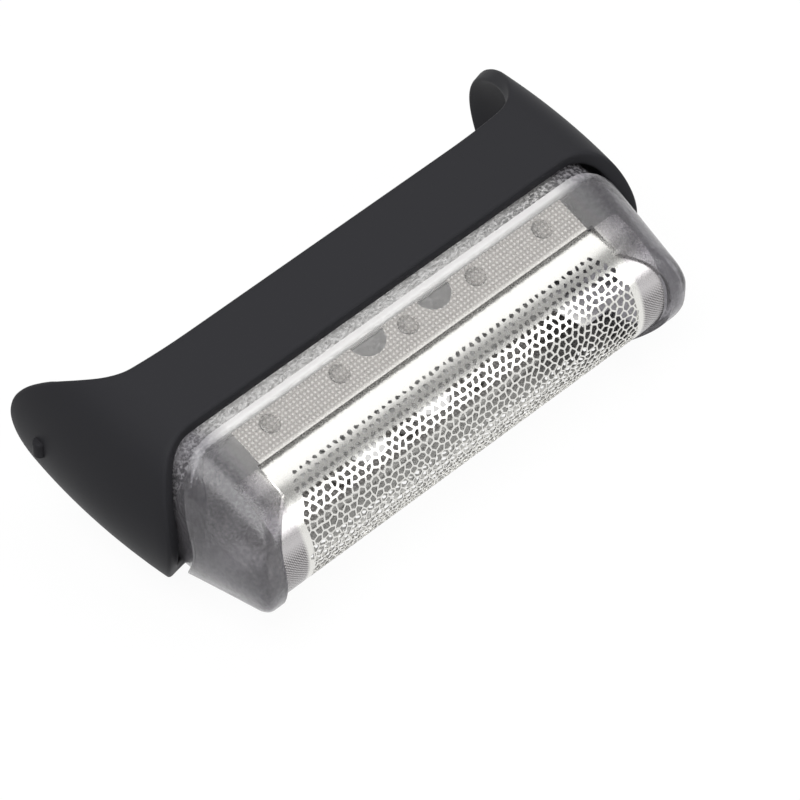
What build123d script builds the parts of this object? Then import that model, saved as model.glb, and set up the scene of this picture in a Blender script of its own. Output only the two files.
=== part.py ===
"""Shaver foil head: a belt-shaped outer frame with two ears, and a foil cassette that floats in it.

The head lies on its back wall, as it does on a table: its long axis is X, its front wall faces up,
and its foil faces -Y. Lengths are in millimetres.
"""
import math
import os

from build123d import *

os.makedirs("parts", exist_ok=True)

# Outer frame: plan of the belt
frame_length = 57.8
frame_width = 19.0
frame_wall = 1.4
end_radius = 14.0
belt_corner = 5.5
end_swell = 0.9
swell_drop = 7.0
swell_reach = 11.0

# Outer frame: heights along the head's axis, from the rim of the long walls
wall_drop = 7.8
ear_drop = 17.6
droop_inset = 16.9
rim_rise = 4.0
rim_arc = 8.7

# Lower edge of an ear, in points of its arcs: seen from the front, distance from the frame's end and
# drop below the rim, and seen from the end, distance from the wall's face and drop below the rim
ear_front = [(9.6, 8.15), (5.2, 8.95), (3.0, 10.8), (1.3, 13.4)]
ear_end = [(7.5, 17.4), (2.3, 13.4), (0.0, 8.4)]
tip_radius = 10.0

# Half-round nub on the outside of each ear
nub_radius = 0.65
nub_length = 2.0
nub_above_tip = 5.0

# Foil: a half-round arch with two hems that lean as the carrier does
foil_cover = 0.65
foil_thickness = 0.06
foil_inset = 5.6
spring_height = 6.3
hem_depth = 4.0
notch_radius = 1.9
notch_place = 4.0

# Perforation of the arch
hole_pitch = 3.3
hole_width = 2.5
hole_rows = 5
end_margin = 4.6

# Foil carrier
skirt_gap = 1.5
skirt_inset = 0.85
carrier_lean = 14.0
end_lean = 9.0
top_corner_share = 0.9
top_radius = 9.0
cheek_proud = 0.65
opening_inset = 8.9
opening_bow = 3.0
bay_play = 0.05
pocket_inset = 3.5
pocket_cover = 1.8
neck_play = 0.35
neck_drop = 6.5
neck_wall = 1.0
shell_wall = 0.6

# Heat stakes that hold the hems
stake_count = 5
stake_inset = 3.4
stake_radius = 1.0
stake_sides = 12
stake_proud = 0.3
stake_above_foot = 1.3
stake_root = 0.4
stake_play = 0.1

# Float of the cassette, and the lugs that keep it in the frame
float_travel = 1.2
lug_length = 4.0
lug_height = 1.0
lug_depth = 0.6
lug_drop = 2.9
lug_place = 12.0
lug_play = 0.15

# Worked out from the sizes above
half_length = frame_length / 2
half_width = frame_width / 2
lean = math.tan(math.radians(carrier_lean))
foil_length = frame_length - 2 * foil_inset
opening_length = frame_length - 2 * opening_inset
foil_radius = half_width - skirt_inset - lean * (spring_height - skirt_gap) - foil_cover
cheek_radius = foil_radius + cheek_proud
head_top = spring_height + cheek_radius
bay_half_width = foil_radius + bay_play
neck_inset = frame_wall + neck_play
rim_flat = half_length - math.sqrt(rim_arc**2 - (rim_arc - rim_rise) ** 2)
stake_pitch = (opening_length - 2 * stake_inset) / (stake_count - 1)
through = frame_length + ear_drop

# Planes of the lying head. On HEAD, x is the long axis, y points to the front wall and z out of the foil.
lying_shift = (head_top - ear_drop) / 2
centre = (0, lying_shift, half_width)
HEAD = Plane(origin=centre, x_dir=(1, 0, 0), z_dir=(0, -1, 0))
FRONT = Plane(origin=centre, x_dir=(1, 0, 0), z_dir=(0, 0, -1))
SIDE = Plane(origin=centre, x_dir=(0, 0, 1), z_dir=(1, 0, 0))


def oval(height, length, width, radius, corner):
    """Plan outline with flat walls, bulging ends and round corners, from its half length and half width."""
    arc_start = length - radius + math.sqrt(radius**2 - width**2)
    with BuildSketch(HEAD.offset(height)) as outline:
        with BuildLine():
            Line((-arc_start, width), (arc_start, width))
            ThreePointArc((arc_start, width), (length, 0), (arc_start, -width))
            Line((arc_start, -width), (-arc_start, -width))
            ThreePointArc((-arc_start, -width), (-length, 0), (-arc_start, width))
        make_face()
        fillet(outline.vertices(), corner)
    return outline.sketch


def belt(inset, height, swell=0):
    """Plan outline of the head, drawn this far inside its outer face, with its ends moved out."""
    length = half_length + swell - inset
    return oval(height, length, half_width - inset, end_radius - inset, belt_corner - inset)


def swell_at(height):
    """How far the frame's ends swell out at this height."""
    return end_swell * (1 - ((height + swell_drop) / swell_reach) ** 2)


def swollen_belts(inset):
    """Plan outlines of the frame from the ears' tips to the rim, longest at the swell."""
    half_reach = swell_reach / 2
    heights = (-ear_drop, -swell_drop - half_reach, -swell_drop, half_reach - swell_drop, rim_rise)
    return [belt(inset, height, swell_at(height)) for height in heights]


def shell():
    """Plan outlines of the carrier's leaning shell at the rim and at the top."""
    width = half_width - skirt_inset - lean * (head_top - skirt_gap)
    length = half_length - skirt_inset - math.tan(math.radians(end_lean)) * (head_top - skirt_gap)
    return [
        belt(skirt_inset - lean * skirt_gap, 0),
        oval(head_top, length, width, top_radius, top_corner_share * width),
    ]


def above_rim(gap):
    """Front view of the space above a line that runs this far above the frame's rim."""
    end = 2 * half_length
    top = head_top + ear_drop
    arc_middle = math.asin((half_length - rim_flat) / rim_arc) / 2
    bend = (rim_flat + rim_arc * math.sin(arc_middle), gap + rim_arc * (1 - math.cos(arc_middle)))
    with BuildSketch(FRONT) as space:
        with BuildLine():
            Line((0, gap), (rim_flat, gap))
            ThreePointArc((rim_flat, gap), bend, (half_length, gap + rim_rise))
            Polyline((half_length, gap + rim_rise), (end, gap + rim_rise), (end, top), (0, top), (0, gap))
        make_face()
        mirror(about=Plane.YZ)
    return space.sketch


def below_walls():
    """Front view of the space between the two ears, under the drooping edge of the walls."""
    droop, turn, ear, tip = [(half_length - inset, -drop) for inset, drop in ear_front]
    start = (half_length - droop_inset, -wall_drop)
    with BuildSketch(FRONT) as space:
        with BuildLine():
            Line((0, -wall_drop), start)
            ThreePointArc(start, droop, turn)
            ThreePointArc(turn, ear, tip)
            Polyline(tip, (tip[0], -2 * ear_drop), (0, -2 * ear_drop), (0, -wall_drop))
        make_face()
        mirror(about=Plane.YZ)
    return space.sketch


def below_ears():
    """End view of the space round the tongue of an ear."""
    tip, side, root = [(half_width - inset, -drop) for inset, drop in ear_end]
    outer = 2 * half_width
    with BuildSketch(SIDE) as space:
        with BuildLine():
            Line((0, -2 * ear_drop), (0, -ear_drop))
            RadiusArc((0, -ear_drop), tip, -tip_radius)
            ThreePointArc(tip, side, root)
            Polyline(root, (outer, root[1]), (outer, -2 * ear_drop), (0, -2 * ear_drop))
        make_face()
        mirror(about=Plane.YZ)
    return space.sketch


def under_foil(radius, depth):
    """End view of an arch of this radius and the leaning hems under it, filled, down to this depth."""
    spread = radius + lean * depth
    foot = spring_height - depth
    with BuildSketch(SIDE) as space:
        with BuildLine():
            ThreePointArc((radius, spring_height), (0, spring_height + radius), (-radius, spring_height))
            Polyline((-radius, spring_height), (-spread, foot), (spread, foot), (radius, spring_height))
        make_face()
    return space.sketch


def lug_places(drop):
    """Places of the four lugs on the inner faces of the long walls, this far below the rim."""
    wall_face = half_width - frame_wall
    return [HEAD * Pos(x, y, -drop) for x in (-lug_place, lug_place) for y in (-wall_face, wall_face)]


def stake_places():
    """Places of the stakes on the inner faces of both hems, with z pointing out through the hem."""
    above_foot = hem_depth - stake_above_foot
    face = foil_radius - foil_thickness + lean * above_foot
    first = -stake_pitch * (stake_count - 1) / 2
    return [
        HEAD * Pos(first + stake_pitch * i, side * face, spring_height - above_foot)
        * Rot(-side * (90 - carrier_lean), 0, 0)
        for side in (-1, 1)
        for i in range(stake_count)
    ]


# Outer frame: a swelling belt with arched rims, open between its ears
with BuildPart() as outer_frame:
    loft(swollen_belts(0), ruled=True)
    loft(swollen_belts(frame_wall), ruled=True, mode=Mode.SUBTRACT)
    extrude(above_rim(0), amount=through, both=True, mode=Mode.SUBTRACT)
    extrude(below_walls(), amount=through, both=True, mode=Mode.SUBTRACT)
    extrude(below_ears(), amount=through, both=True, mode=Mode.SUBTRACT)
    with Locations(*lug_places(lug_drop)):
        Box(lug_length, 2 * lug_depth, lug_height, align=(Align.CENTER, Align.CENTER, Align.MIN))
    nub_height = nub_above_tip - ear_drop
    for end in (-1, 1):
        with Locations(HEAD * Pos(end * (half_length + swell_at(nub_height)), 0, nub_height)):
            Cylinder(nub_radius, nub_length, rotation=(90, 0, 0))
outer_frame.part.label = "outer_frame"
export_step(outer_frame.part, "parts/outer_frame.step")

# Foil carrier: a leaning shell with two arched cheeks, on a neck that slides in the frame
with BuildPart() as foil_carrier:
    loft(shell())
    with BuildSketch(SIDE) as above_cheeks:
        start = spring_height + cheek_radius * math.sin(math.radians(carrier_lean))
        with Locations((0, start)):
            Rectangle(frame_width, frame_width, align=(Align.CENTER, Align.MIN))
        with Locations((0, spring_height)):
            Circle(cheek_radius, mode=Mode.SUBTRACT)
    extrude(amount=through, both=True, mode=Mode.SUBTRACT)
    extrude(above_rim(skirt_gap), amount=through, both=True, mode=Mode.INTERSECT)
    with BuildPart() as neck:
        extrude(belt(neck_inset, -neck_drop), amount=neck_drop + spring_height)
        extrude(above_rim(skirt_gap + shell_wall), amount=through, both=True, mode=Mode.SUBTRACT)
    with BuildSketch(HEAD.offset(spring_height)) as opening:
        end = opening_length / 2
        with BuildLine():
            Polyline((0, half_width), (end, half_width), (end, bay_half_width))
            ThreePointArc((end, bay_half_width), (end + opening_bow, 0), (end, -bay_half_width))
            Polyline((end, -bay_half_width), (end, -half_width), (0, -half_width), (0, half_width))
        make_face()
        mirror(about=Plane.YZ)
    extrude(amount=head_top, mode=Mode.SUBTRACT)
    with BuildPart(mode=Mode.SUBTRACT) as hollow:
        bay_depth = hem_depth + bay_play
        extrude(under_foil(bay_half_width, bay_depth), amount=foil_length / 2 + bay_play, both=True)
        pocket_radius = foil_radius - pocket_cover
        extrude(under_foil(pocket_radius, bay_depth), amount=half_length - pocket_inset, both=True)
        extrude(above_rim(skirt_gap + shell_wall), amount=through, both=True, mode=Mode.INTERSECT)
    extrude(belt(neck_inset + neck_wall, -neck_drop), amount=neck_drop + spring_height, mode=Mode.SUBTRACT)
    with Locations(*lug_places(lug_drop + lug_play)):
        Box(
            lug_length + 2 * lug_play,
            2 * (half_width - bay_half_width),
            lug_height + float_travel + 2 * lug_play,
            align=(Align.CENTER, Align.CENTER, Align.MIN),
            mode=Mode.SUBTRACT,
        )
    with BuildSketch(*[Plane(place * Pos(0, 0, -stake_proud)) for place in stake_places()]):
        RegularPolygon(stake_radius, stake_sides)
    extrude(amount=stake_proud + stake_root)
foil_carrier.part.label = "foil_carrier"
export_step(foil_carrier.part, "parts/foil_carrier.step")

# Shaving foil: a perforated arch with two hems
with BuildPart() as shaving_foil:
    extrude(under_foil(foil_radius, hem_depth), amount=foil_length / 2, both=True)
    inner_radius = foil_radius - foil_thickness
    extrude(under_foil(inner_radius, hem_depth), amount=foil_length, both=True, mode=Mode.SUBTRACT)
    for end in (-1, 1):
        with Locations(HEAD * Pos(end * opening_length / 2, 0, spring_height)):
            Box(
                foil_length,
                frame_width,
                2 * hem_depth,
                align=(Align.MAX if end < 0 else Align.MIN, Align.CENTER, Align.MAX),
                mode=Mode.SUBTRACT,
            )
    row_step = math.degrees(hole_pitch * math.sqrt(3) / 2 / foil_radius)
    axis = HEAD.offset(spring_height)
    for row in range(hole_rows):
        turn = row_step * (row - (hole_rows - 1) / 2)
        columns = int((foil_length - 2 * end_margin) / hole_pitch) + row % 2
        with BuildSketch(axis.rotated((turn, 0, 0))):
            with GridLocations(hole_pitch, 1, columns, 1):
                RegularPolygon(hole_width / 2, 6, major_radius=False)
        extrude(amount=2 * foil_radius, mode=Mode.SUBTRACT)
    stake_hole = 2 * (stake_radius + stake_play)
    with Locations(*stake_places()):
        Box(stake_hole, stake_hole, 2 * stake_root, mode=Mode.SUBTRACT)
    for place in (-notch_place, notch_place):
        with Locations(FRONT * Pos(place, spring_height - hem_depth)):
            Cylinder(notch_radius, frame_width, mode=Mode.SUBTRACT)
shaving_foil.part.label = "shaving_foil"
export_step(shaving_foil.part, "parts/shaving_foil.step")
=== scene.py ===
"""Studio model of a shaver foil head, dressed over its packed solids.

The head lies on its back wall. In the functions below x runs along the head, v points to the
front wall and w points out of the foil; head_point turns these into the shared frame. Lengths
are in metres.
"""
import math
import random

import bmesh
import bpy
from mathutils import Matrix, Vector


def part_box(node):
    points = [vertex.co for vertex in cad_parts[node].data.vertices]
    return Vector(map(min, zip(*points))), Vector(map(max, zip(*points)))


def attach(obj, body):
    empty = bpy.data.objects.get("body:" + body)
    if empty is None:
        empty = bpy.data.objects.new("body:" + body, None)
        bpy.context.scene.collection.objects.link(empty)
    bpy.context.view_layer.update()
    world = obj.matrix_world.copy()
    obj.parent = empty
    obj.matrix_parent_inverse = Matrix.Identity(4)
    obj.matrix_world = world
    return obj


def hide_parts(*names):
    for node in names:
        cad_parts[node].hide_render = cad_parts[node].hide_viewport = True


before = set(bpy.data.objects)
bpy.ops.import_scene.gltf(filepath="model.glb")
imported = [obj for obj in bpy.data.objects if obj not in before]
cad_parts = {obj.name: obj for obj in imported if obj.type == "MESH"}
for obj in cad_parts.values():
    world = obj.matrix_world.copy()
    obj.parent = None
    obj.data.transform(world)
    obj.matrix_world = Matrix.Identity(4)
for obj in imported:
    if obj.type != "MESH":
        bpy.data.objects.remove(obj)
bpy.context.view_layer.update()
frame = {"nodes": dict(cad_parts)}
FRAME_LOW, FRAME_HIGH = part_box("outer_frame")
CARRIER_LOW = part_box("foil_carrier")[0]
FOIL_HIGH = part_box("shaving_foil")[1]

# From the rim of the long walls to the top of the head, and that rim's place in the frame.
HEAD_TOP = 0.01375
HEAD_Y = CARRIER_LOW[1] + HEAD_TOP
# Vertices in a ring round the head.
RING = 480
# Points closer than this are one point.
TOUCH = 1e-6
# A millimetre, for the sizes of patterns.
MM = 0.001

bl_info = {
    "name": "Shaver foil head",
    "version": (1, 0, 0),
    "blender": (4, 5, 0),
    "location": "View3D > Sidebar > Foil Head",
    "description": "Builds the frame, the foil carrier and the perforated foil of a shaver head",
    "category": "Object",
}


def length(name, description, default):
    """A property that holds a length."""
    return bpy.props.FloatProperty(
        name=name, description=description, default=default, unit="LENGTH")


def angle(name, description, degrees):
    """A property that holds an angle."""
    return bpy.props.FloatProperty(
        name=name, description=description, default=math.radians(degrees), subtype="ANGLE")


def linear(hex_colour):
    """Linear RGBA of an sRGB hex colour."""
    parts = [int(hex_colour[i:i + 2], 16) / 255 for i in (1, 3, 5)]
    return [c / 12.92 if c <= 0.04045 else ((c + 0.055) / 1.055) ** 2.4 for c in parts] + [1.0]


def colour(name, description, hex_colour):
    """A property that holds a colour."""
    return bpy.props.FloatVectorProperty(
        name=name, description=description, default=linear(hex_colour), subtype="COLOR", size=4,
        min=0.0, max=1.0)


class BeltSizes(bpy.types.PropertyGroup):
    """Plan of the head and the heights of its frame."""

    half_length: length("Half length", "From the middle to the outside of an end", 0.0290)
    half_width: length(
        "Half width", "From the middle to the outside of a long wall",
        (FRAME_HIGH[2] - FRAME_LOW[2]) / 2)
    end_radius: length("End radius", "Radius of the bulging ends", 0.014)
    corner_radius: length("Corner radius", "Radius between a long wall and an end", 0.0055)
    swell: length("Swell", "How far the frame's ends swell out below the rim", 0.0009)
    swell_depth: length("Swell depth", "Depth of the widest place below the rim", 0.007)
    swell_reach: length("Swell reach", "From the widest place to where the swell ends", 0.011)
    wall: length("Wall", "Thickness of the frame's wall", 0.0014)
    wall_drop: length("Wall drop", "From the rim to the lower edge of a long wall", 0.0081)
    ear_drop: length("Ear drop", "From the rim to the tip of an ear", 0.0180)
    ear_root: length("Ear root", "From the rim to where an ear leaves the long walls", 0.0084)
    ear_point: bpy.props.FloatProperty(
        name="Ear point", description="Shape of an ear: 2 is round, less is more pointed",
        default=1.35)
    droop_start: length(
        "Droop start", "From the middle to where the walls' lower edge starts to droop", 0.016)
    droop_radius: length("Droop radius", "Radius of that droop", 0.072)
    rim_rise: length("Rim rise", "How far the rim rises at the ends", 0.004)
    rim_arc: length("Rim arc", "Radius of the rising rim", 0.0087)
    edge_blend: length(
        "Edge blend", "Length over which the walls' lower edge bends into an ear", 0.0014)
    edge: length("Edge", "Rounding of the frame's edges", 0.0003)
    nub: length("Nub", "Radius of the nub on each ear", 0.00065)
    nub_length: length("Nub length", "Length of the nub", 0.002)
    nub_rise: length("Nub rise", "From the tip of an ear to its nub", 0.005)


class CarrierSizes(bpy.types.PropertyGroup):
    """Shell that holds the foil."""

    spring: length("Spring height", "Height at which the foil's arch begins", 0.0063)
    skirt_gap: length("Skirt gap", "Gap between the frame's rim and the skirt", 0.0015)
    skirt_inset: length("Skirt inset", "From the frame's outside to the skirt", 0.00085)
    top_length: length("Top length", "Half length of the shell at the top of the head", 0.0261)
    top_width: length("Top width", "Half width of the shell at the top of the head", 0.0056)
    top_radius: length("Top radius", "Radius of the bulging ends at the top", 0.009)
    top_corner: length("Top corner", "Radius of the corners at the top", 0.005)
    lean: angle("Lean", "Lean of the shell", 14.0)
    cheek_radius: length("Cheek radius", "Radius of the arched ends", 0.00745)
    cheek_round: length("Cheek rounding", "Rounding of the arched ends", 0.0014)
    opening: length("Opening", "Half length of the foil window at the groove", 0.0204)
    bow: length("Bow", "How far the window's ends bow out", 0.0033)
    neck_inset: length("Neck inset", "From the frame's outside to the neck", 0.00175)
    neck_drop: length("Neck drop", "From the rim to the foot of the neck", 0.0065)
    shell: length("Shell", "Thickness of the shell", 0.0006)
    edge: length("Edge", "Rounding of the shell's edges", 0.00016)
    stakes: bpy.props.IntProperty(
        name="Stakes", description="Stakes along each wall", default=5)
    stake_pitch: length("Stake pitch", "Spacing of the stakes", 0.0083)
    stake_radius: length("Stake radius", "Radius of a stake's head", 0.001)
    stake_depth: length("Stake depth", "Depth of a stake's head", 0.0006)
    stake_edge: length("Stake edge", "Rounding of a stake's head", 0.00012)
    stake_height: length("Stake height", "Height of the stakes above the rim", 0.0036)


class FoilSizes(bpy.types.PropertyGroup):
    """Perforated foil."""

    half_length: length("Half length", "From the middle to an end of the foil", FOIL_HIGH[0])
    radius: length("Radius", "Outer radius of the arch", 0.0068)
    hem: length("Hem", "Depth of the hems under the arch", 0.0041)
    hem_length: length("Hem length", "From the middle to an end of the hems", 0.020)
    thickness: length("Thickness", "Thickness of the sheet", 0.00009)
    pitch: length("Pitch", "Spacing of the openings", 0.00082)
    web: length("Web", "Width of the metal between two openings at the crown", 0.00014)
    edge_web: length("Edge web", "The same in the rows next to the grooves", 0.0004)
    jitter: length("Jitter", "How far the openings' corners stray", 0.00016)
    margin: length("Margin", "Plain band along the grooves", 0.0018)
    reach: length("Reach", "Half length of the perforation at the grooves", 0.0176)
    reach_bow: length("Reach bow", "How much longer the perforation is at the top", 0.0026)
    notch_place: length("Notch place", "From the middle to each notch of the hems", 0.004)
    notch_radius: length("Notch radius", "Radius of a notch", 0.0019)


class StageSettings(bpy.types.PropertyGroup):
    """Camera's place and what it shows."""

    azimuth: angle("Azimuth", "Camera's turn round the head", -42.8)
    elevation: angle("Elevation", "Camera's height", 51.25)
    distance: length("Distance", "From the camera to the head", 0.45)
    view_width: length("View width", "Width that the picture shows at the head", 0.07155)
    aim_right: length(
        "Aim right", "Picture centre, to the right of the groove's middle", -0.0025)
    aim_down: length("Aim down", "Picture centre, below the groove's middle", 0.00465)


class Colours(bpy.types.PropertyGroup):
    """Colours of the pieces and of the stage."""

    frame: colour("Frame", "Black of the outer frame", "#333336")
    walls: colour("Walls", "Tint of the carrier's clear walls", "#f4f3f2")
    smoke: colour("Smoke", "Tint of the carrier's ends", "#98969b")
    grains: colour("Grains", "Tint of the grains in the ends", "#b4b2b6")
    nickel: colour("Nickel", "Metal of the foil", "#e6e5e1")
    hems: colour("Hems", "Metal of the hems between their dots", "#a6a3a0")
    dots: colour("Dots", "Metal of the dots on the hems", "#d2d0cd")
    tips: colour("Tips", "Metal of the arch's plain ends", "#c2bfc0")
    hatch: colour("Hatch", "Lines on the arch's plain ends", "#4a4848")
    floor: colour("Floor", "Paper of the floor", "#8f8f8f")
    surround: colour("Surround", "Light of the surround", "#ffffff")


def node(tree, kind, inputs=None, **settings):
    """Adds a node with its settings. An input gets a value, or a link from an output; a node
    stands for its first output in use."""
    added = tree.nodes.new(kind)
    for name, value in settings.items():
        setattr(added, name, value)
    for name, value in (inputs or {}).items():
        if isinstance(name, int):
            socket = added.inputs[name]
        else:
            socket = next(item for item in added.inputs if item.name == name and item.enabled)
        if isinstance(value, bpy.types.Node):
            value = next(item for item in value.outputs if item.enabled)
        if isinstance(value, bpy.types.NodeSocket):
            tree.links.new(value, socket)
        else:
            socket.default_value = value
    return added


def new_material(name):
    """An empty node material and its tree."""
    material = bpy.data.materials.new(name)
    material.use_nodes = True
    material.node_tree.nodes.clear()
    return material, material.node_tree


def head_point(x, v, w):
    """Point of the shared frame for a place on the head."""
    return Vector((x, HEAD_Y - w, bpy.context.scene.belt_sizes.half_width + v))


class Plan:
    """Outline of the head in plan: flat walls, round corners and bulging ends."""

    def __init__(self, half_length, width, bulge, corner):
        self.width = width
        self.corner = corner
        self.bulge = bulge
        self.bulge_x = half_length - bulge
        self.corner_v = width - corner
        reach = math.sqrt((bulge - corner) ** 2 - self.corner_v**2)
        self.flat = self.bulge_x + reach
        self.split = math.atan2(self.corner_v, reach)
        self.corner_run = corner * (math.pi / 2 - self.split)
        self.quarter = self.flat + self.corner_run + bulge * self.split
        self.whole = 4 * self.quarter

    def point(self, run, inset, swell=0.0):
        """Place at this distance round the outline, this far inside it, with its ends moved out."""
        part = int(run // self.quarter) % 4
        along = run - (run // self.quarter) * self.quarter
        if part % 2:
            along = self.quarter - along
        if along <= self.flat:
            x, v = along * (1 + swell / self.flat), self.width - inset
        elif along <= self.flat + self.corner_run:
            turn = math.pi / 2 - (along - self.flat) / self.corner
            radius = self.corner - inset
            x = self.flat + swell + radius * math.cos(turn)
            v = self.corner_v + radius * math.sin(turn)
        else:
            turn = self.split - (along - self.flat - self.corner_run) / self.bulge
            radius = self.bulge - inset
            x, v = self.bulge_x + swell + radius * math.cos(turn), radius * math.sin(turn)
        return (-x if part > 1 else x), (-v if part in (1, 2) else v)


def belt_plan(belt):
    """Outline of the frame at its rim."""
    return Plan(belt.half_length, belt.half_width, belt.end_radius, belt.corner_radius)


def rim_height(belt, x):
    """Height of the frame's rim above the rim of the long walls."""
    rise = math.sqrt(belt.rim_arc**2 - (belt.rim_arc - belt.rim_rise) ** 2)
    past = max(0.0, min(abs(x), belt.half_length) - (belt.half_length - rise))
    return belt.rim_arc - math.sqrt(belt.rim_arc**2 - past**2)


def end_swell(belt, w):
    """How far the frame's ends swell out at this height."""
    return belt.swell * (1 - ((w + belt.swell_depth) / belt.swell_reach) ** 2)


def lower_edge(belt, plan, run):
    """Height of the frame's lower edge, which droops along the walls and runs round the ears."""
    low = -belt.wall_drop
    # The swell at the edge moves the edge itself, so its height settles in a few rounds.
    for _ in range(4):
        x, v = plan.point(run, 0.0, end_swell(belt, low))
        past = max(0.0, abs(x) - belt.droop_start)
        low = -belt.wall_drop - past * past / (2 * belt.droop_radius)
        share = abs(v) / belt.half_width
        if share < 0.9999:
            depth = (belt.ear_drop - belt.ear_root) * (1 - share**2) ** (1 / belt.ear_point)
            low = min(low, -belt.ear_root - depth)
    return low


def belt_loop(mesh, plan):
    """A ring of edges for the belt, and the run of each of its vertices."""
    verts = bmesh.ops.create_circle(mesh, segments=RING, radius=1.0)["verts"]
    runs = {vert: plan.whole * i / RING for i, vert in enumerate(verts)}
    return list({edge for vert in verts for edge in vert.link_edges}), runs


def next_row(mesh, edges, runs):
    """Extrudes a row of edges, and returns the new edges and the runs of their vertices."""
    places = {tuple(vert.co): runs[vert] for edge in edges for vert in edge.verts}
    made = bmesh.ops.extrude_edge_only(mesh, edges=edges)["geom"]
    verts = [item for item in made if isinstance(item, bmesh.types.BMVert)]
    new_runs = {vert: places[tuple(vert.co)] for vert in verts}
    return [item for item in made if isinstance(item, bmesh.types.BMEdge)], new_runs


def face_out(mesh, way):
    """Turns the faces of a sheet so that the one furthest this way looks this way."""
    bmesh.ops.recalc_face_normals(mesh, faces=mesh.faces)
    far = max(mesh.faces, key=lambda face: face.calc_center_median().dot(way))
    if far.normal.dot(way) < 0:
        bmesh.ops.reverse_faces(mesh, faces=mesh.faces)


def round_off(mesh, geometry, kind, width, segments):
    """Rounds edges or vertices of a mesh."""
    bmesh.ops.bevel(
        mesh, geom=geometry, offset=width, offset_type="OFFSET", segments=segments, profile=0.5,
        affect=kind, material=-1, clamp_overlap=True)


def new_object(name, mesh):
    """An object at the origin that holds this bmesh."""
    data = bpy.data.meshes.new(name)
    mesh.to_mesh(data)
    mesh.free()
    made = bpy.data.objects.new(name, data)
    bpy.context.scene.collection.objects.link(made)
    return made


def modifier(made, kind, **settings):
    """Adds a modifier with these settings."""
    added = made.modifiers.new(kind.title(), kind)
    for name, value in settings.items():
        setattr(added, name, value)


def freeze(made):
    """Applies the modifiers of an object to its mesh."""
    bpy.context.view_layer.update()
    graph = bpy.context.evaluated_depsgraph_get()
    data = bpy.data.meshes.new_from_object(made.evaluated_get(graph))
    made.modifiers.clear()
    made.data = data


def thicken(made, thickness, edge, degrees):
    """Gives a sheet its thickness, rounds the edges sharper than this and applies both."""
    modifier(made, "SOLIDIFY", thickness=thickness, offset=-1.0, use_even_offset=True)
    modifier(
        made, "BEVEL", width=edge, segments=3, limit_method="ANGLE",
        angle_limit=math.radians(degrees), use_clamp_overlap=True)
    freeze(made)


def dress(made, material, degrees):
    """Shades a mesh smooth, with edges sharper than this left crisp, in one material."""
    made.data.shade_smooth()
    made.data.set_sharp_from_angle(angle=math.radians(degrees))
    made.data.materials.clear()
    made.data.materials.append(material)


def satin_abs():
    """Black ABS, moulded in a finely spark-eroded tool: a soft sheen with a faint grain."""
    # The real grain is a few hundredths of a millimetre, too fine to show, so it is drawn coarser.
    grain_width = 0.1923 * MM
    grain_depth = 0.06 * MM
    # The sheen drifts slowly along the walls.
    drift_width = 9.09 * MM
    material, tree = new_material("black_abs_satin")
    place = node(tree, "ShaderNodeTexCoord").outputs["Object"]
    grain = node(
        tree, "ShaderNodeTexNoise", {"Vector": place, "Scale": 1 / grain_width, "Detail": 3.0})
    drift = node(
        tree, "ShaderNodeTexNoise", {"Vector": place, "Scale": 1 / drift_width, "Detail": 2.0})
    sheen = node(tree, "ShaderNodeMapRange", {"Value": drift, "To Min": 0.42, "To Max": 0.52})
    relief = node(
        tree, "ShaderNodeBump", {"Height": grain, "Strength": 0.12, "Distance": grain_depth})
    shader = node(tree, "ShaderNodeBsdfPrincipled", {
        "Base Color": bpy.context.scene.colours.frame,
        "Roughness": sheen,
        "Normal": relief,
        "IOR": 1.46,
        "Specular IOR Level": 0.05,
    })
    node(tree, "ShaderNodeOutputMaterial", {"Surface": shader})
    return material


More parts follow.
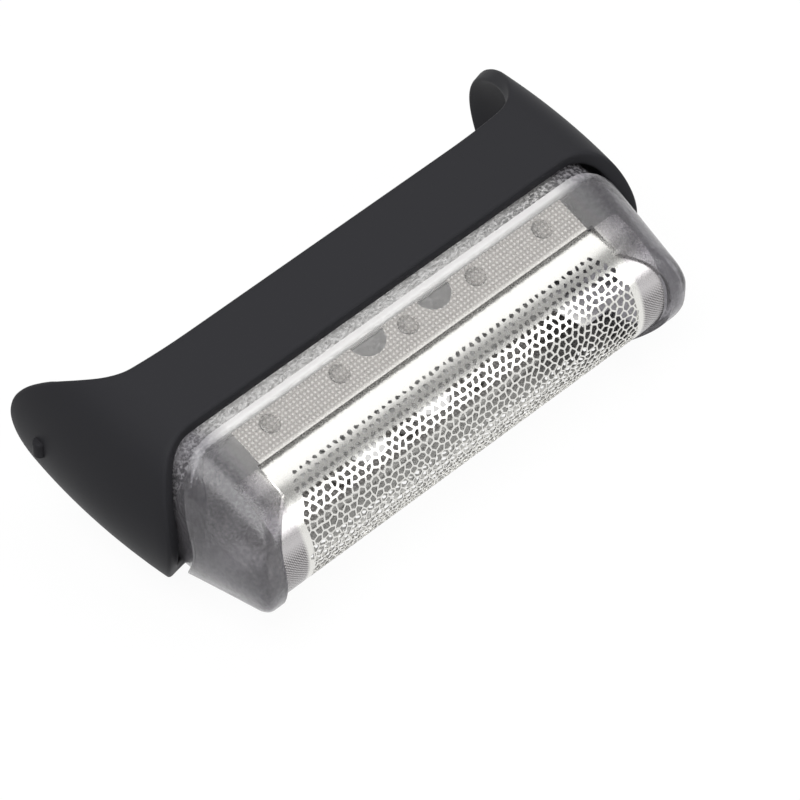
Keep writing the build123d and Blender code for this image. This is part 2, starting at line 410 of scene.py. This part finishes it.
def smoky_plastic():
    """Smoky clear SAN: polished and clear on the long walls, smoked ends and a frosted neck."""
    colours = bpy.context.scene.colours
    # Blasted grit is finer than this, and is drawn as coarse as it needs to show.
    grit_width = 0.3125 * MM
    grit_depth = 0.12 * MM
    # From the middle to where the smoked ends start and where they are in full.
    smoke_start = 20.0 * MM
    smoke_full = 22.5 * MM
    # Heights above the long walls' rim up to which the foot is made milky white as a painted
    # highlight, and where it is clear.
    highlight_full = 2.0 * MM
    highlight_end = 2.6 * MM
    material, tree = new_material("smoky_clear_san")
    place = node(tree, "ShaderNodeTexCoord").outputs["Object"]
    split = node(tree, "ShaderNodeSeparateXYZ", {"Vector": place}).outputs
    # The neck is as rough as sand-blasted glass, with bright grains, and the ends are gritty too.
    frosted = node(tree, "ShaderNodeAttribute", attribute_name="frost").outputs["Fac"]
    grit = node(
        tree, "ShaderNodeTexNoise", {"Vector": place, "Scale": 1 / grit_width, "Detail": 2.0})
    grains = node(tree, "ShaderNodeMapRange", {"Value": grit, "From Min": 0.42, "From Max": 0.62})
    # The ends are thicker, so they look darker than the walls.
    along = node(tree, "ShaderNodeMath", {0: split["X"]}, operation="ABSOLUTE")
    ends = node(
        tree, "ShaderNodeMapRange",
        {"Value": along, "From Min": smoke_start, "From Max": smoke_full})
    smoke = node(
        tree, "ShaderNodeMix", {"Factor": grains, "A": colours.smoke, "B": colours.grains},
        data_type="RGBA")
    tint = node(
        tree, "ShaderNodeMix", {"Factor": ends, "A": colours.walls, "B": smoke}, data_type="RGBA")
    # Painted highlight: the foot of the walls is made milky white, which stands in for the bright
    # strip of light along the skirt.
    foot = node(
        tree, "ShaderNodeMapRange",
        {"Value": split["Y"], "From Min": HEAD_Y - highlight_end, "From Max": HEAD_Y - highlight_full})
    speckle = node(
        tree, "ShaderNodeMix", {"Factor": frosted, "A": 1.0, "B": grains}, data_type="FLOAT")
    # The painted highlight along the foot, with the neck's random grains in it.
    highlight_and_grains = node(tree, "ShaderNodeMath", {0: foot, 1: speckle}, operation="MULTIPLY")
    clear = node(
        tree, "ShaderNodeMix", {"Factor": ends, "A": 0.95, "B": 0.78}, data_type="FLOAT")
    lets_through = node(
        tree, "ShaderNodeMix", {"Factor": highlight_and_grains, "A": clear, "B": 0.25}, data_type="FLOAT")
    rough = node(
        tree, "ShaderNodeMix", {"Factor": frosted, "A": 0.07, "B": 0.4}, data_type="FLOAT")
    polish = node(
        tree, "ShaderNodeMix", {"Factor": ends, "A": rough, "B": 0.2}, data_type="FLOAT")
    grit_share = node(
        tree, "ShaderNodeMix", {"Factor": ends, "A": frosted, "B": 0.3}, data_type="FLOAT")
    height = node(tree, "ShaderNodeMath", {0: grit, 1: grit_share}, operation="MULTIPLY")
    relief = node(
        tree, "ShaderNodeBump", {"Height": height, "Strength": 0.8, "Distance": grit_depth})
    shader = node(tree, "ShaderNodeBsdfPrincipled", {
        "Base Color": tint,
        "Roughness": polish,
        "Normal": relief,
        "Transmission Weight": lets_through,
        "IOR": 1.46,
    })
    node(tree, "ShaderNodeOutputMaterial", {"Surface": shader})
    return material


def nickel_foil():
    """Electroformed nickel: bright, with a fine growth texture, dotted hems and hatched ends."""
    colours = bpy.context.scene.colours
    # The real growth is finer than a hair, too fine to show, so it is drawn coarser.
    growth_width = 0.2632 * MM
    growth_depth = 0.04 * MM
    # Spacing of the hems' dots and of the hatch on the arch's ends.
    dot_pitch = 0.4348 * MM
    hatch_pitch = 0.2174 * MM
    # Heights above the long walls' rim up to which the hems are dotted, and where they are plain.
    hem_full = 5.6 * MM
    hem_end = 6.0 * MM
    # Heights above the floor up to which the hatch is in full, and where it ends.
    hatch_full = 11.4 * MM
    hatch_end = 12.6 * MM
    # From the middle to where the plain ends start and where they are in full.
    tip_start = 20.5 * MM
    tip_full = 20.9 * MM
    material, tree = new_material("electroformed_nickel")
    place = node(tree, "ShaderNodeTexCoord").outputs["Object"]
    split = node(tree, "ShaderNodeSeparateXYZ", {"Vector": place}).outputs
    growth = node(
        tree, "ShaderNodeTexNoise", {"Vector": place, "Scale": 1 / growth_width, "Detail": 3.0})
    # Rows of fine dots on the hems.
    flat = node(tree, "ShaderNodeMapping", {"Vector": place, "Scale": (1.0, 1.0, 0.0)})
    dots = node(
        tree, "ShaderNodeTexVoronoi", {"Vector": flat, "Scale": 1 / dot_pitch, "Randomness": 0.0})
    dotted = node(tree, "ShaderNodeMapRange", {"Value": dots, "From Min": 0.34, "From Max": 0.20})
    hem_tone = node(
        tree, "ShaderNodeMix", {"Factor": dotted, "A": colours.hems, "B": colours.dots},
        data_type="RGBA")
    hem = node(
        tree, "ShaderNodeMapRange",
        {"Value": split["Y"], "From Min": HEAD_Y - hem_end, "From Max": HEAD_Y - hem_full})
    # A fine diagonal hatch on the lower part of the arch's plain ends.
    turned = node(
        tree, "ShaderNodeMapping",
        {"Vector": place, "Rotation": (0.0, math.radians(45.0), 0.0), "Scale": (1.0, 0.0, 1.0)})
    hatch = node(
        tree, "ShaderNodeTexVoronoi",
        {"Vector": turned, "Scale": 1 / hatch_pitch, "Randomness": 0.0}, distance="CHEBYCHEV")
    hatched = node(tree, "ShaderNodeMapRange", {"Value": hatch, "From Min": 0.30, "From Max": 0.42})
    lower = node(
        tree, "ShaderNodeMapRange",
        {"Value": split["Z"], "From Min": hatch_end, "From Max": hatch_full})
    lines = node(tree, "ShaderNodeMath", {0: hatched, 1: lower}, operation="MULTIPLY")
    tip_tone = node(
        tree, "ShaderNodeMix", {"Factor": lines, "A": colours.tips, "B": colours.hatch},
        data_type="RGBA")
    along = node(tree, "ShaderNodeMath", {0: split["X"]}, operation="ABSOLUTE")
    tip = node(
        tree, "ShaderNodeMapRange", {"Value": along, "From Min": tip_start, "From Max": tip_full})
    arch_tone = node(
        tree, "ShaderNodeMix", {"Factor": tip, "A": colours.nickel, "B": tip_tone},
        data_type="RGBA")
    tone = node(
        tree, "ShaderNodeMix", {"Factor": hem, "A": arch_tone, "B": hem_tone}, data_type="RGBA")
    polish = node(tree, "ShaderNodeMapRange", {"Value": growth, "To Min": 0.20, "To Max": 0.34})
    relief = node(
        tree, "ShaderNodeBump", {"Height": growth, "Strength": 0.08, "Distance": growth_depth})
    shader = node(tree, "ShaderNodeBsdfPrincipled", {
        "Base Color": tone,
        "Roughness": polish,
        "Normal": relief,
        "Metallic": 1.0,
    })
    node(tree, "ShaderNodeOutputMaterial", {"Surface": shader})
    return material


class FOILHEAD_OT_frame(bpy.types.Operator):
    """Builds the black frame: a belt with two ears and a nub on each"""

    bl_idname = "foilhead.frame"
    bl_label = "Outer frame"

    def edge_heights(self, belt, plan, runs):
        """Height of the lower edge at each run, with its bends eased."""
        steps = 4
        heights = {}
        for run in runs:
            near = [lower_edge(belt, plan, run + belt.edge_blend * i / steps)
                    for i in range(-steps, steps + 1)]
            heights[run] = sum(near) / len(near)
        return heights

    def execute(self, context):
        belt = context.scene.belt_sizes
        plan = belt_plan(belt)
        mesh = bmesh.new()
        edges, runs = belt_loop(mesh, plan)
        lows = self.edge_heights(belt, plan, runs.values())
        rows = 14
        for row in range(rows + 1):
            if row:
                edges, runs = next_row(mesh, edges, runs)
            for vert, run in runs.items():
                high = rim_height(belt, plan.point(run, 0.0)[0])
                w = lows[run] + (high - lows[run]) * row / rows
                vert.co = head_point(*plan.point(run, 0.0, end_swell(belt, w)), w)
        face_out(mesh, Vector((1, 0, 0)))
        made = new_object("outer_frame_moulding", mesh)
        thicken(made, belt.wall, belt.edge, degrees=50.0)
        mesh = bmesh.new()
        mesh.from_mesh(made.data)
        for end in (-1, 1):
            w = belt.nub_rise - belt.ear_drop
            place = head_point(end * (belt.half_length + end_swell(belt, w)), 0.0, w)
            nub = bmesh.ops.create_cone(
                mesh, cap_ends=True, segments=32, radius1=belt.nub, radius2=belt.nub,
                depth=belt.nub_length, matrix=Matrix.Translation(place))
            caps = {edge for vert in nub["verts"] for edge in vert.link_edges
                    if abs(edge.verts[0].co.z - edge.verts[1].co.z) < TOUCH}
            round_off(mesh, list(caps), "EDGES", belt.edge, segments=4)
        mesh.to_mesh(made.data)
        mesh.free()
        dress(made, satin_abs(), degrees=40.0)
        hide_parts("outer_frame")
        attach(made, "frame")
        return {"FINISHED"}


class FOILHEAD_OT_carrier(bpy.types.Operator):
    """Builds the smoky carrier: a neck, a leaning shell, two arched cheeks and the stakes"""

    bl_idname = "foilhead.carrier"
    bl_label = "Foil carrier"

    # Rows of faces from the neck's foot up to the window.
    neck_rows = 3
    shell_rows = 6
    face_rows = 6
    ridge_rows = 7
    roof_rows = 5
    # Rounds in which the ridge's place settles, and the most of a face that its rounding takes.
    settle_rounds = 60
    round_share = 0.7

    def top_run(self, run):
        """Run on the shell's top outline that belongs to a run on the rim's outline."""
        part = int(run // self.plan.quarter)
        along = run - part * self.plan.quarter
        along = self.plan.quarter - along if part % 2 else along
        marks = [(0.0, 0.0), (self.sizes.opening, self.sizes.opening)]
        marks += zip(*[(plan.flat, plan.flat + plan.corner_run, plan.quarter)
                       for plan in (self.plan, self.top)])
        for (start, top_start), (stop, top_stop) in zip(marks, marks[1:]):
            if along <= stop:
                share = (along - start) / (stop - start)
                along = top_start + share * (top_stop - top_start)
                break
        return part * self.top.quarter + (self.top.quarter - along if part % 2 else along)

    def shell_point(self, run, w):
        """Place on the outside of the leaning shell at this height."""
        sizes = self.sizes
        x, v = self.plan.point(run, sizes.skirt_inset - math.tan(sizes.lean) * sizes.skirt_gap)
        far_x, far_v = self.top.point(self.top_run(run), 0.0)
        share = w / HEAD_TOP
        return Vector((x + (far_x - x) * share, v + (far_v - v) * share, w))

    def roof_point(self, x, v):
        """Place on the arch of the cheeks."""
        return Vector((x, v, self.sizes.spring + math.sqrt(self.sizes.cheek_radius**2 - v * v)))

    def ridge(self, run):
        """Place where the leaning shell meets the arch of the cheeks, found in small steps."""
        w = HEAD_TOP
        for _ in range(self.settle_rounds):
            w = self.roof_point(0.0, self.shell_point(run, w).y).z
        return self.shell_point(run, w)

    def section(self, run, end, place, widest):
        """Rows of the end face, the rounded ridge and the arched roof, up to the window."""
        sizes = self.sizes
        ridge = self.ridge(run)
        side = widest * math.cos(math.pi * place)
        edge_x = end * (sizes.opening + sizes.bow * (1 - (side / widest) ** 4))
        face = (ridge - self.shell_point(run, sizes.spring)).length
        roof = (ridge - self.roof_point(edge_x, side)).length
        cut = min(sizes.cheek_round, self.round_share * face, self.round_share * roof)

        def on_roof(share):
            """Place on the roof, this share of the way from the ridge to the window."""
            return self.roof_point(
                ridge.x + (edge_x - ridge.x) * share, ridge.y + (side - ridge.y) * share)

        below = self.shell_point(run, ridge.z - (ridge.z - sizes.spring) * cut / face)
        start = cut / roof if roof > TOUCH else 0.0
        beyond = on_roof(start)
        rows = []
        for i in range(1, self.face_rows + 1):
            w = sizes.spring + (below.z - sizes.spring) * i / self.face_rows
            rows.append(self.shell_point(run, w))
        for i in range(1, self.ridge_rows + 1):
            t = i / self.ridge_rows
            rows.append(below * (1 - t) ** 2 + ridge * 2 * t * (1 - t) + beyond * t * t)
        for i in range(1, self.roof_rows + 1):
            rows.append(on_roof(start + (1 - start) * i / self.roof_rows))
        return rows

    def body(self, mesh, belt):
        """Builds the neck and the leaning shell, and returns its top edges and their runs."""
        plan, sizes = self.plan, self.sizes
        frost = mesh.verts.layers.float.new("frost")
        edges, runs = belt_loop(mesh, plan)
        # The vertices next to the window's corners move into them.
        for vert, run in runs.items():
            along = run % (2 * plan.quarter)
            for mark in (sizes.opening, 2 * plan.quarter - sizes.opening):
                if abs(along - mark) < plan.whole / RING / 2:
                    runs[vert] = run - along + mark
        rows = [("neck", i / self.neck_rows) for i in range(self.neck_rows + 1)]
        rows += [("shell", i / self.shell_rows) for i in range(self.shell_rows + 1)]
        for number, (part, share) in enumerate(rows):
            if number:
                edges, runs = next_row(mesh, edges, runs)
            for vert, run in runs.items():
                skirt = rim_height(belt, plan.point(run, 0.0)[0]) + sizes.skirt_gap
                if part == "neck":
                    w = -sizes.neck_drop + (skirt + sizes.neck_drop) * share
                    vert.co = head_point(*plan.point(run, sizes.neck_inset), w)
                    vert[frost] = 1.0
                else:
                    w = skirt + (sizes.spring - skirt) * share
                    vert.co = head_point(*self.shell_point(run, w))
                    vert[frost] = 0.0
        return edges, runs

    def cheek(self, mesh, edges, runs, end):
        """Builds the end face and the roof of one end, up from the shell's top edges."""
        plan = self.plan
        chain = [edge for edge in edges
                 if all(vert.co.x * end > self.sizes.opening - TOUCH for vert in edge.verts)]
        chain_runs = {vert: runs[vert] for edge in chain for vert in edge.verts}
        first = plan.quarter * (2 if end < 0 else 0)
        turned = sorted((run - first) % plan.whole for run in chain_runs.values())
        widest = self.ridge((turned[0] + first) % plan.whole).y
        sections = {}
        for i, turn in enumerate(turned):
            run = (turn + first) % plan.whole
            sections[round(run, 9)] = self.section(run, end, i / (len(turned) - 1), widest)
        for row in range(self.face_rows + self.ridge_rows + self.roof_rows):
            chain, chain_runs = next_row(mesh, chain, chain_runs)
            for vert, run in chain_runs.items():
                vert.co = head_point(*sections[round(run, 9)][row])

    def stakes(self, mesh, foil):
        """Adds the rounded heads of the stakes on the inside of the foil's hems."""
        sizes = self.sizes
        rise = sizes.spring - sizes.stake_height
        hem = foil.radius - foil.thickness + math.tan(sizes.lean) * rise
        first = -sizes.stake_pitch * (sizes.stakes - 1) / 2
        for side in (-1, 1):
            turn = Matrix.Rotation(side * sizes.lean, 4, "X")
            for i in range(sizes.stakes):
                place = head_point(first + sizes.stake_pitch * i, side * hem, sizes.stake_height)
                stake = bmesh.ops.create_cone(
                    mesh, cap_ends=True, segments=28, radius1=sizes.stake_radius,
                    radius2=sizes.stake_radius, depth=sizes.stake_depth,
                    matrix=Matrix.Translation(place) @ turn)
                caps = {edge for vert in stake["verts"] for edge in vert.link_edges
                        if any(len(face.verts) > 4 for face in edge.link_faces)}
                round_off(mesh, list(caps), "EDGES", sizes.stake_edge, segments=2)

    def execute(self, context):
        belt = context.scene.belt_sizes
        self.sizes = sizes = context.scene.carrier_sizes
        self.plan = belt_plan(belt)
        self.top = Plan(sizes.top_length, sizes.top_width, sizes.top_radius, sizes.top_corner)
        mesh = bmesh.new()
        edges, runs = self.body(mesh, belt)
        for end in (-1, 1):
            self.cheek(mesh, edges, runs, end)
        bmesh.ops.remove_doubles(mesh, verts=mesh.verts, dist=TOUCH)
        face_out(mesh, Vector((1, 0, 0)))
        made = new_object("foil_carrier_moulding", mesh)
        thicken(made, sizes.shell, sizes.edge, degrees=40.0)
        mesh = bmesh.new()
        mesh.from_mesh(made.data)
        self.stakes(mesh, context.scene.foil_sizes)
        mesh.to_mesh(made.data)
        mesh.free()
        dress(made, smoky_plastic(), degrees=40.0)
        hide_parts("foil_carrier")
        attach(made, "cassette")
        return {"FINISHED"}


class FOILHEAD_OT_foil(bpy.types.Operator):
    """Builds the perforated foil: a flat sheet of cells, opened, then bent over the arch"""

    bl_idname = "foilhead.foil"
    bl_label = "Shaving foil"

    # Start of the random draws, and widths of web between the crown and the grooves.
    seed = 7
    grades = 6
    # Shares of a cell: corners this near are one, and corners this near to a notch move to it.
    weld_share = 0.05
    notch_reach = 1.2

    def opened(self, place):
        """Whether a place of the flat sheet lies in the perforated field."""
        sizes = self.sizes
        across = abs(place.y)
        reach = sizes.reach + sizes.reach_bow * (1 - (across / self.half_arch) ** 2)
        return across < self.half_arch - sizes.margin and abs(place.x) < reach

    def cells(self, mesh):
        """Fills the flat sheet with six-sided cells, whose corners stray where it opens."""
        sizes = self.sizes
        row_step = sizes.pitch * math.sqrt(3) / 2
        rows = int(self.half_sheet / row_step) + 2
        columns = int(sizes.half_length / sizes.pitch) + 2
        for row in range(-rows, rows + 1):
            for column in range(-columns, columns + 1):
                x = (column + 0.5 * (row % 2)) * sizes.pitch
                bmesh.ops.create_circle(
                    mesh, cap_ends=True, segments=6, radius=self.cell,
                    matrix=Matrix.Translation((x, row * row_step, 0.0)))
        bmesh.ops.remove_doubles(mesh, verts=mesh.verts, dist=self.cell * self.weld_share)
        draw = random.Random(self.seed)
        for vert in sorted(mesh.verts, key=lambda item: (round(item.co.y, 6), round(item.co.x, 6))):
            stray = sizes.jitter * math.sqrt(draw.random())
            turn = draw.uniform(0.0, 2 * math.pi)
            if self.opened(vert.co):
                vert.co.x += stray * math.cos(turn)
                vert.co.y += stray * math.sin(turn)

    def trim(self, mesh):
        """Cuts the sheet to its outline, with hems that are shorter than the arch."""
        sizes = self.sizes
        lines = [((1, 0, 0), sizes.half_length, True), ((0, 1, 0), self.half_sheet, True),
                 ((1, 0, 0), sizes.hem_length, False), ((0, 1, 0), self.half_arch, False)]
        for normal, reach, outer in lines:
            for way in (-1, 1):
                bmesh.ops.bisect_plane(
                    mesh, geom=list(mesh.verts) + list(mesh.edges) + list(mesh.faces),
                    plane_co=Vector(normal) * reach * way, plane_no=Vector(normal) * way,
                    clear_outer=outer)
        beyond = [face for face in mesh.faces
                  if abs(face.calc_center_median().x) > sizes.hem_length
                  and abs(face.calc_center_median().y) > self.half_arch]
        bmesh.ops.delete(mesh, geom=beyond, context="FACES")

    def notch(self, mesh):
        """Cuts the half-moon notches into the hems."""
        sizes = self.sizes
        notches = [Vector((end * sizes.notch_place, way * self.half_sheet, 0.0))
                   for end in (-1, 1) for way in (-1, 1)]
        cut = [face for face in mesh.faces
               if any((face.calc_center_median() - place).length < sizes.notch_radius
                      for place in notches)]
        bmesh.ops.delete(mesh, geom=cut, context="FACES")
        for vert in mesh.verts:
            for place in notches:
                away = vert.co - place
                near = abs(away.length - sizes.notch_radius) < self.cell * self.notch_reach
                if vert.is_boundary and near and abs(vert.co.y) < self.half_sheet - TOUCH:
                    vert.co = place + away.normalized() * sizes.notch_radius

    def perforate(self, mesh):
        """Opens the cells, with webs that widen from the crown to the grooves."""
        sizes = self.sizes
        holes = [face for face in mesh.faces if self.opened(face.calc_center_median())]
        edge = self.half_arch - sizes.margin
        for i in range(self.grades):
            group = [face for face in holes
                     if i <= self.grades * abs(face.calc_center_median().y) / edge < i + 1]
            web = sizes.web + (sizes.edge_web - sizes.web) * (i / (self.grades - 1)) ** 2
            bmesh.ops.inset_individual(mesh, faces=group, thickness=web / 2, use_even_offset=True)
        corners = list({vert for face in holes for vert in face.verts})
        bmesh.ops.delete(mesh, geom=holes, context="FACES")
        round_off(mesh, corners, "VERTICES", sizes.web / 2, segments=1)

    def bend(self, mesh, carrier):
        """Bends the flat sheet over the arch, with its hems leaning as the carrier's walls do."""
        radius = self.sizes.radius
        for vert in mesh.verts:
            x, along = vert.co.x, vert.co.y
            past = abs(along) - self.half_arch
            if past < 0:
                turn = along / radius
                v, w = radius * math.sin(turn), carrier.spring + radius * math.cos(turn)
            else:
                v = math.copysign(radius + past * math.sin(carrier.lean), along)
                w = carrier.spring - past * math.cos(carrier.lean)
            vert.co = head_point(x, v, w)

    def execute(self, context):
        self.sizes = sizes = context.scene.foil_sizes
        self.half_arch = sizes.radius * math.pi / 2
        self.half_sheet = self.half_arch + sizes.hem
        self.cell = sizes.pitch / math.sqrt(3)
        mesh = bmesh.new()
        self.cells(mesh)
        self.trim(mesh)
        self.notch(mesh)
        self.perforate(mesh)
        self.bend(mesh, context.scene.carrier_sizes)
        face_out(mesh, Vector((0, -1, 0)))
        made = new_object("shaving_foil_sheet", mesh)
        modifier(made, "SOLIDIFY", thickness=sizes.thickness, offset=-1.0)
        freeze(made)
        dress(made, nickel_foil(), degrees=50.0)
        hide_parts("shaving_foil")
        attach(made, "cassette")
        return {"FINISHED"}


class FOILHEAD_OT_stage(bpy.types.Operator):
    """Adds the floor, the soft lights and the camera"""

    bl_idname = "foilhead.stage"
    bl_label = "Stage"

    # Where the lamps look, and half a side of the floor.
    head_middle = Vector((0.0, 0.0, 0.01))
    floor_reach = 1.5
    # How far the floor glows to the rays that show the background, and how strongly.
    glow_share = 0.74
    glow_strength = 1.27
    # Strength of the surround overhead and at the horizon, and the rise that parts them.
    ceiling_strength = 0.34
    horizon_strength = 1.0
    horizon_rise = 0.10
    ceiling_rise = 0.16

    def lamp(self, name, place, size, power):
        """A square soft light that looks at the head."""
        data = bpy.data.lights.new(name, "AREA")
        data.size = size
        data.energy = power
        made = bpy.data.objects.new(name, data)
        made.location = place
        way = self.head_middle - Vector(place)
        made.rotation_euler = way.to_track_quat("-Z", "Y").to_euler()
        bpy.context.scene.collection.objects.link(made)

    def seen(self, tree):
        """1 for the rays that show the background: to the camera, in metal and through plastic."""
        paths = node(tree, "ShaderNodeLightPath").outputs
        direct = node(
            tree, "ShaderNodeMath", {0: paths["Is Camera Ray"], 1: paths["Is Glossy Ray"]},
            operation="MAXIMUM")
        return node(
            tree, "ShaderNodeMath", {0: direct, 1: paths["Is Transmission Ray"]},
            operation="MAXIMUM")

    def floor(self):
        """A pale floor that shows white to those rays and keeps a faint shadow."""
        mesh = bmesh.new()
        bmesh.ops.create_grid(mesh, x_segments=1, y_segments=1, size=self.floor_reach)
        made = new_object("floor", mesh)
        colours = bpy.context.scene.colours
        material, tree = new_material("white_sweep")
        share = node(
            tree, "ShaderNodeMath", {0: self.seen(tree), 1: self.glow_share}, operation="MULTIPLY")
        paper = node(tree, "ShaderNodeBsdfDiffuse", {"Color": colours.floor})
        glow = node(
            tree, "ShaderNodeEmission",
            {"Color": colours.surround, "Strength": self.glow_strength})
        sweep = node(tree, "ShaderNodeMixShader", {0: share, 1: paper, 2: glow})
        node(tree, "ShaderNodeOutputMaterial", {"Surface": sweep})
        made.data.materials.append(material)

    def sky(self, context):
        """A surround that lights the head evenly."""
        world = bpy.data.worlds.new("studio")
        context.scene.world = world
        world.use_nodes = True
        tree = world.node_tree
        tree.nodes.clear()
        # White behind the floor's edge, and a dimmer ceiling.
        place = node(tree, "ShaderNodeTexCoord").outputs["Generated"]
        height = node(tree, "ShaderNodeSeparateXYZ", {"Vector": place}).outputs["Z"]
        horizon = node(
            tree, "ShaderNodeMapRange",
            {"Value": height, "From Min": self.ceiling_rise, "From Max": self.horizon_rise})
        white = node(
            tree, "ShaderNodeMath", {0: self.seen(tree), 1: horizon}, operation="MULTIPLY")
        strength = node(
            tree, "ShaderNodeMapRange",
            {"Value": white, "To Min": self.ceiling_strength, "To Max": self.horizon_strength})
        back = node(
            tree, "ShaderNodeBackground",
            {"Color": context.scene.colours.surround, "Strength": strength})
        node(tree, "ShaderNodeOutputWorld", {"Surface": back})

    def camera(self, context):
        """A long lens at the picture's viewing angle."""
        stage = context.scene.stage_settings
        a, e = stage.azimuth, stage.elevation
        back = Vector((math.sin(a) * math.cos(e), -math.cos(a) * math.cos(e), math.sin(e)))
        right = Vector((math.cos(a), math.sin(a), 0.0))
        up = back.cross(right)
        groove = head_point(
            0.0, context.scene.foil_sizes.radius, context.scene.carrier_sizes.spring)
        target = groove + right * stage.aim_right - up * stage.aim_down
        data = bpy.data.cameras.new("camera")
        data.sensor_width = 36.0
        data.lens = data.sensor_width * stage.distance / stage.view_width
        data.clip_start = 0.01
        made = bpy.data.objects.new("camera", data)
        turn = Matrix((right, up, back)).transposed().to_4x4()
        made.matrix_world = Matrix.Translation(target + back * stage.distance) @ turn
        context.scene.collection.objects.link(made)
        context.scene.camera = made

    def execute(self, context):
        self.floor()
        self.sky(context)
        self.lamp("key", place=(0.19, 0.11, 0.39), size=0.36, power=0.44)
        self.lamp("fill", place=(-0.18, -0.06, 0.42), size=0.30, power=1.2)
        self.lamp("front", place=(0.22, -0.38, 0.24), size=0.22, power=0.45)
        self.camera(context)
        context.scene.view_settings.view_transform = "Standard"
        return {"FINISHED"}


class FOILHEAD_PT_panel(bpy.types.Panel):
    """Lists the pieces of the foil head, with their sizes and colours"""

    bl_idname = "FOILHEAD_PT_panel"
    bl_label = "Foil head"
    bl_space_type = "VIEW_3D"
    bl_region_type = "UI"
    bl_category = "Foil Head"

    def draw(self, context):
        for operator in OPERATORS:
            self.layout.operator(operator.bl_idname)
        for name, group in GROUPS.items():
            box = self.layout.box()
            box.label(text=group.__doc__)
            for value in group.__annotations__:
                box.prop(getattr(context.scene, name), value)


GROUPS = {
    "belt_sizes": BeltSizes,
    "carrier_sizes": CarrierSizes,
    "foil_sizes": FoilSizes,
    "stage_settings": StageSettings,
    "colours": Colours,
}
OPERATORS = (FOILHEAD_OT_frame, FOILHEAD_OT_carrier, FOILHEAD_OT_foil, FOILHEAD_OT_stage)


def register():
    """Adds the sizes, the operators and the panel to Blender."""
    for name, group in GROUPS.items():
        bpy.utils.register_class(group)
        setattr(bpy.types.Scene, name, bpy.props.PointerProperty(type=group))
    for operator in OPERATORS:
        bpy.utils.register_class(operator)
    bpy.utils.register_class(FOILHEAD_PT_panel)


def unregister():
    """Takes them out again."""
    bpy.utils.unregister_class(FOILHEAD_PT_panel)
    for operator in OPERATORS:
        bpy.utils.unregister_class(operator)
    for name, group in GROUPS.items():
        delattr(bpy.types.Scene, name)
        bpy.utils.unregister_class(group)


def main():
    """Builds the head and its stage."""
    register()
    bpy.ops.foilhead.frame()
    bpy.ops.foilhead.carrier()
    bpy.ops.foilhead.foil()
    bpy.ops.foilhead.stage()


if __name__ == "__main__":
    main()
